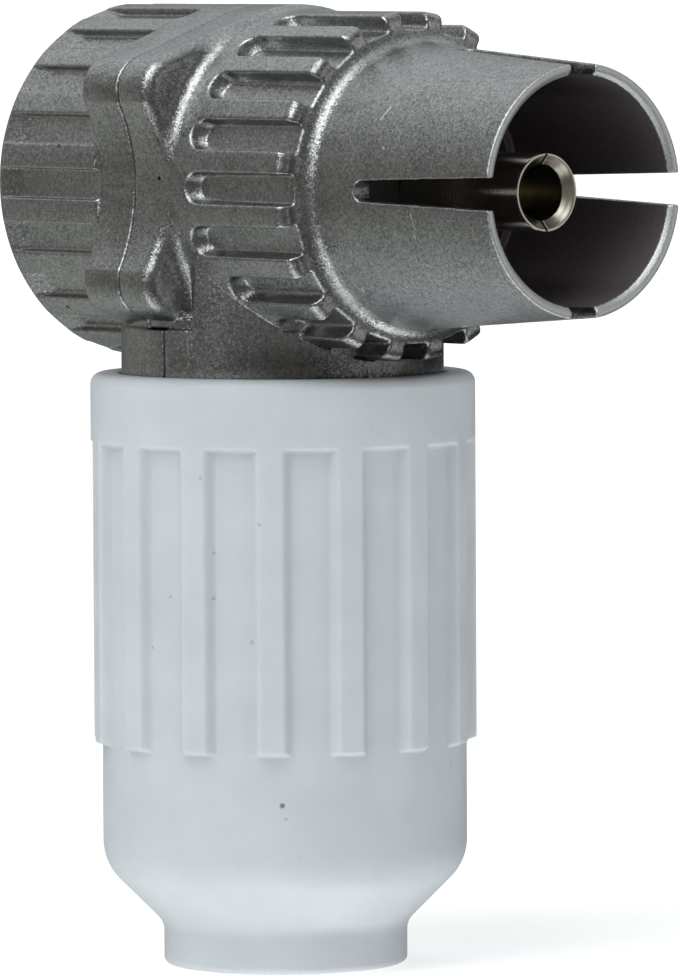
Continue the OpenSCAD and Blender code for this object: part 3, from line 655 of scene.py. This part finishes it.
def ribTree(material):      # lifts ribs and the top band from the turned wall
    tree = bpy.data.node_groups.new("sleeveRibs", "GeometryNodeTree")
    tree.interface.new_socket("Geometry", in_out="INPUT", socket_type="NodeSocketGeometry")
    sockets = {}
    for name in ("ribPitch", "grooveTurn", "wallRadius", "grooveHalf", "grooveTop", "ribFoot", "proud",
                 "riseFrom", "riseTo", "endScale", "corner", "outerFrom"):
        socket = tree.interface.new_socket(name, in_out="INPUT", socket_type="NodeSocketFloat")
        sockets[name] = socket.identifier
    tree.interface.new_socket("Geometry", in_out="OUTPUT", socket_type="NodeSocketGeometry")
    given = addNode(tree, "NodeGroupInput", {}, {}).outputs
    place = addNode(tree, "GeometryNodeInputPosition", {}, {}).outputs[0]
    part = addNode(tree, "ShaderNodeSeparateXYZ", {}, {0: place}).outputs
    angle = addNode(tree, "ShaderNodeMath", {"operation": "ARCTAN2"}, {0: part[1], 1: part[0]})
    turned = addNode(tree, "ShaderNodeMath", {"operation": "SUBTRACT"},
                     {0: angle.outputs[0], 1: given["grooveTurn"]})
    halfPitch = addNode(tree, "ShaderNodeMath", {"operation": "MULTIPLY"}, {0: given["ribPitch"], 1: 0.5})
    lowPitch = addNode(tree, "ShaderNodeMath", {"operation": "MULTIPLY"}, {0: given["ribPitch"], 1: -0.5})
    local = addNode(tree, "ShaderNodeMath", {"operation": "WRAP"},
                    {0: turned.outputs[0], 1: halfPitch.outputs[0], 2: lowPitch.outputs[0]})
    fromMiddle = addNode(tree, "ShaderNodeMath", {"operation": "ABSOLUTE"}, {0: local.outputs[0]})
    side = addNode(tree, "ShaderNodeMath", {"operation": "SUBTRACT"},
                   {0: fromMiddle.outputs[0], 1: given["grooveHalf"]})
    sideWay = addNode(tree, "ShaderNodeMath", {"operation": "MULTIPLY"},
                      {0: side.outputs[0], 1: given["wallRadius"]})
    over = addNode(tree, "ShaderNodeMath", {"operation": "SUBTRACT"}, {0: part[2], 1: given["grooveTop"]})
    overWay = addNode(tree, "ShaderNodeMath", {"operation": "MULTIPLY"},
                      {0: over.outputs[0], 1: given["endScale"]})
    groove = addNode(tree, "ShaderNodeMath", {"operation": "SMOOTH_MAX"},
                     {0: sideWay.outputs[0], 1: overWay.outputs[0], 2: given["corner"]})
    below = addNode(tree, "ShaderNodeMath", {"operation": "SUBTRACT"}, {0: part[2], 1: given["ribFoot"]})
    belowWay = addNode(tree, "ShaderNodeMath", {"operation": "MULTIPLY"},
                       {0: below.outputs[0], 1: given["endScale"]})
    plain = addNode(tree, "ShaderNodeMath", {"operation": "SMOOTH_MIN"},
                    {0: groove.outputs[0], 1: belowWay.outputs[0], 2: given["corner"]})
    lift = addNode(tree, "ShaderNodeMapRange", {"interpolation_type": "SMOOTHERSTEP"},
                   {"Value": plain.outputs[0], "From Min": given["riseFrom"], "From Max": given["riseTo"],
                    "To Min": 0.0, "To Max": given["proud"]})
    flat = addNode(tree, "ShaderNodeCombineXYZ", {}, {0: part[0], 1: part[1]})
    radius = addNode(tree, "ShaderNodeVectorMath", {"operation": "LENGTH"}, {0: flat.outputs[0]})
    outer = addNode(tree, "ShaderNodeMath", {"operation": "GREATER_THAN"},
                    {0: radius.outputs["Value"], 1: given["outerFrom"]})
    raised = addNode(tree, "ShaderNodeMath", {"operation": "MULTIPLY"},
                     {0: lift.outputs["Result"], 1: outer.outputs[0]})
    outward = addNode(tree, "ShaderNodeVectorMath", {"operation": "NORMALIZE"}, {0: flat.outputs[0]})
    offset = addNode(tree, "ShaderNodeVectorMath", {"operation": "SCALE"},
                     {0: outward.outputs[0], "Scale": raised.outputs[0]})
    moved = addNode(tree, "GeometryNodeSetPosition", {},
                    {"Geometry": given["Geometry"], "Offset": offset.outputs[0]})
    solid = addNode(tree, "GeometryNodeRealizeInstances", {}, {"Geometry": moved.outputs[0]})
    painted = addNode(tree, "GeometryNodeSetMaterial", {},
                      {"Geometry": solid.outputs[0], "Material": material})
    addNode(tree, "NodeGroupOutput", {}, {0: painted.outputs[0]})
    return tree, sockets


def sleevePiece(material):
    size = screwSleeve
    outside, inside = sleeveProfile(size)
    profile = np.concatenate([outside, inside]) * mm
    columns = size["columns"]
    rows = len(profile)
    turns = np.linspace(0, 2 * math.pi, columns, endpoint=False)
    heights = np.broadcast_to(profile[:, 1], (columns, rows))
    ahead = np.outer(np.cos(turns), profile[:, 0])
    aside = np.outer(np.sin(turns), profile[:, 0])
    corners = np.stack([ahead, aside, heights], axis=-1).reshape(-1, 3)
    column = np.arange(columns)[:, None] * rows
    nextColumn = (np.arange(columns)[:, None] + 1) % columns * rows
    row = np.arange(rows)[None]
    nextRow = (row + 1) % rows
    faces = np.stack([column + row, nextColumn + row, nextColumn + nextRow, column + nextRow], axis=-1)
    mesh = bpy.data.meshes.new("cableSleeve")
    mesh.from_pydata(corners, [], faces.reshape(-1, 4))
    piece = meshObject("cableSleeve", mesh, [material])
    tree, sockets = ribTree(material)
    ribs = piece.modifiers.new("ribs", "NODES")
    ribs.node_group = tree
    values = {
        "ribPitch": 2 * math.pi / size["ribs"], "grooveTurn": math.radians(size["grooveTurn"]),
        "wallRadius": size["bodyR"] * mm, "grooveHalf": math.radians(size["grooveAngle"] / 2),
        "grooveTop": size["grooveTopZ"] * mm, "ribFoot": size["ribFootZ"] * mm,
        "proud": (size["bandR"] - size["bodyR"]) * mm,
        "riseFrom": -size["sideSoft"] / 2 * mm, "riseTo": size["sideSoft"] / 2 * mm,
        "endScale": size["sideSoft"] / size["endSoft"], "corner": size["cornerRound"] * mm,
        "outerFrom": (size["bodyR"] - size["rimRound"] - size["outerMargin"]) * mm,
    }
    for name, value in values.items():
        ribs[sockets[name]] = value
    bakeModifiers(piece)
    piece.data.shade_smooth()
    print("cableSleeve", len(piece.data.polygons), "faces")
    return piece


sleeveSpecks = {      # angle round the sleeve, height and half width of the grime that shows
    "dark": [(-40.0, 7.8, 0.16)],
    "faint": [
        (-49.1, 15.0, 0.13), (-64.2, 22.2, 0.11), (-61.2, 16.9, 0.12),
        (-76.9, 16.9, 0.11), (-46.2, 20.2, 0.11), (-61.1, 18.9, 0.1),
        (-84.4, 14.6, 0.1), (25.6, 9.1, 0.11), (-38.9, 7.2, 0.1),
    ],
}


def speckMarks(kind):      # each speck runs from below the grooves to above the ribs
    marks = []
    for angle, height, half in sleeveSpecks[kind]:
        way = Vector((math.cos(math.radians(angle)), math.sin(math.radians(angle)), 0))
        foot = Vector((0, 0, height))
        start = foot + way * (screwSleeve["bodyR"] - half)
        end = foot + way * (screwSleeve["bandR"] + half)
        marks.append((start, end, half))
    return marks


zinc = castZinc()
bore = grainyZinc("zincBorePaintedShade", boreWithPaintedShade)
lip = grainyZinc("paleRoughZincLip", paleRoughLip)
tin = tinnedBrass()
white = whitePolypropylene({kind: speckMarks(kind) for kind in sleeveSpecks})
innerFinishes = {      # material, two colours, roughness and share of metal of the hidden pieces
    "contact_insulator": ("mouldedPolyethylene", "#2b2926", "#3a3733", 0.5, 0.0),
    "terminal_screw": ("nickelPlatedBrass", "#a39e92", "#b9b3a6", 0.3, 1.0),
    "cable_clamp": ("mouldedAcetal", "#d9d6cc", "#e8e5dc", 0.4, 0.0),
}

front = frontCasting([zinc, bore, lip])
rear = rearCasting([zinc])
pin = contactPin([tin])
sleeve = sleevePiece(white)
for piece, body, node, slotName in (
        (front, "casting", "front_housing", "cast_zinc"),
        (rear, "casting", "rear_cover", "cast_zinc"),
        (pin, "casting", "centre_contact", "tinned_brass"),
        (sleeve, "sleeve", "cable_sleeve", "white_plastic")):
    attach(piece, body)
    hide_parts(node)
for node, finish in innerFinishes.items():
    solid = frame["nodes"][node].data
    solid.materials.clear()
    solid.materials.append(cloudedSkin(*finish))
print("pieces placed")

photoView = {      # the camera's turn round the part, tilt and roll, and its place from the cable axis
    "turn": 50.5, "tilt": 3.601, "roll": -0.3, "back": 400.0, "height": 46.423, "side": 2.533,
    "focalPixels": 8964.83, "imageHeight": 976, "sensor": 36.0, "clipNear": 10.0, "clipFar": 100000.0,
}

studio = {
    "floorSize": 40000.0, "floorDrop": 0.05, "floorLow": "#f6f6f5", "floorHigh": "#fafaf9",
    "fibre": 4.0, "floorRoughness": 0.9, "floorSheen": 0.1, "floorGlow": 0.48,
}
softLights = {      # turn from the camera, rise, sharpness, strength and colour of each light round the part
    "front": (0, 0, 6, 0.16, "#fffdf8"), "leftFront": (-60, 0, 6, 0.13, "#fffdf8"),
    "leftBack": (-120, 0, 6, 0.17, "#fffef6"), "right": (70, 0, 6, 0.72, "#fffdff"),
    "backRight": (135, 40, 8, 0.55, "#f8fdff"), "back": (180, 40, 8, 0.5, "#f5fcff"),
    "backLeft": (-135, 40, 8, 0.56, "#f8fdff"), "left": (-90, 40, 8, 0.16, "#fcfffa"),
    "overhead": (0, 85, 8, 0.6, "#f8fdff"), "tableBack": (180, -40, 6, 0.25, "#f8fffa"),
    "tableLeft": (-120, -40, 6, 0.38, "#f8fffa"), "table": (0, -85, 8, 0.6, "#f8fffc"),
    "keyLow": (-45, 18, 40, 0.8, "#faffff"), "keyMiddle": (-35, 40, 22, 3.0, "#faffff"),
    "keyHigh": (-30, 64, 22, 2.9, "#faffff"), "tableNear": (-50, -45, 22, 1.15, "#faffff"),
    "tableUnder": (-50, -70, 22, 1.2, "#faffff"), "tableGlint": (121, -69, 60, 4.0, "#faffff"),
    "nearHigh": (5, 50, 40, 0.4, "#faffff"), "nearLow": (5, -57, 40, 0.5, "#faffff"),
}


# White paper, matt and lit from all round: it goes pale right to the edge of the picture
def studioFloor():
    material, tree, shader, place = newMaterial("mattPaperFloor")
    fibre = addNode(tree, "ShaderNodeTexNoise", {},
                    {"Vector": place, "Scale": perMetre(studio["fibre"]), "Detail": 3.0})
    pale = linearColour(studio["floorHigh"])
    colour = addNode(tree, "ShaderNodeMix", {"data_type": "RGBA"},
                     {0: fibre.outputs["Fac"], 6: linearColour(studio["floorLow"]), 7: pale})
    shader.inputs["Roughness"].default_value = studio["floorRoughness"]
    shader.inputs["Specular IOR Level"].default_value = studio["floorSheen"]
    shader.inputs["Emission Color"].default_value = pale
    shader.inputs["Emission Strength"].default_value = studio["floorGlow"]
    tree.links.new(colour.outputs[2], shader.inputs["Base Color"])
    half = studio["floorSize"] / 2 * mm
    mesh = bpy.data.meshes.new("studioFloor")
    corners = [(-half, -half, 0), (half, -half, 0), (half, half, 0), (-half, half, 0)]
    mesh.from_pydata(corners, [], [(0, 1, 2, 3)])
    floor = meshObject("studioFloor", mesh, [material])
    floor.location.z = -studio["floorDrop"] * mm
    floor.visible_shadow = False
    floor.visible_glossy = False


def studioLight():
    world = bpy.data.worlds.new("studioWorld")
    bpy.context.scene.world = world
    world.use_nodes = True
    tree = world.node_tree
    place = addNode(tree, "ShaderNodeTexCoord", {}, {}).outputs["Generated"]
    turn = math.radians(photoView["turn"])
    glow = (0, 0, 0)
    for azimuth, rise, sharpness, strength, tint in softLights.values():
        around = turn + math.radians(azimuth)
        height = math.radians(rise)
        way = (math.sin(around) * math.cos(height), -math.cos(around) * math.cos(height), math.sin(height))
        facing = addNode(tree, "ShaderNodeVectorMath", {"operation": "DOT_PRODUCT"}, {0: place, 1: way})
        ahead = addNode(tree, "ShaderNodeMath", {"operation": "MAXIMUM"},
                        {0: facing.outputs["Value"], 1: 0.0})
        soft = addNode(tree, "ShaderNodeMath", {"operation": "POWER"}, {0: ahead.outputs[0], 1: sharpness})
        colour = [part * strength for part in linearColour(tint)[:3]]
        glow = addNode(tree, "ShaderNodeVectorMath", {"operation": "MULTIPLY_ADD"},
                       {0: soft.outputs[0], 1: colour, 2: glow}).outputs[0]
    tree.links.new(glow, tree.nodes["Background"].inputs["Color"])


def photoCamera():
    view = photoView
    turn, tilt, roll = (math.radians(view[key]) for key in ("turn", "tilt", "roll"))
    back = Vector((math.sin(turn), -math.cos(turn), 0))
    right = Vector((math.cos(turn), math.sin(turn), 0))
    upward = Vector((0, 0, 1))
    eye = back * view["back"] + right * view["side"] + upward * view["height"]
    behind = back * math.cos(tilt) + upward * math.sin(tilt)
    above = upward * math.cos(tilt) - back * math.sin(tilt)
    rolledRight = right * math.cos(roll) + above * math.sin(roll)
    rolledUp = above * math.cos(roll) - right * math.sin(roll)
    data = bpy.data.cameras.new("photoCamera")
    data.sensor_fit = "VERTICAL"
    data.sensor_height = view["sensor"]
    data.lens = view["focalPixels"] * view["sensor"] / view["imageHeight"]
    data.clip_start = view["clipNear"] * mm
    data.clip_end = view["clipFar"] * mm
    camera = bpy.data.objects.new("photoCamera", data)
    turned = Matrix((rolledRight, rolledUp, behind)).transposed().to_4x4()
    camera.matrix_world = Matrix.Translation(eye * mm) @ turned
    bpy.context.collection.objects.link(camera)
    bpy.context.scene.camera = camera


studioFloor()
studioLight()
photoCamera()
bpy.context.scene.view_settings.view_transform = "Standard"
print("studio set")
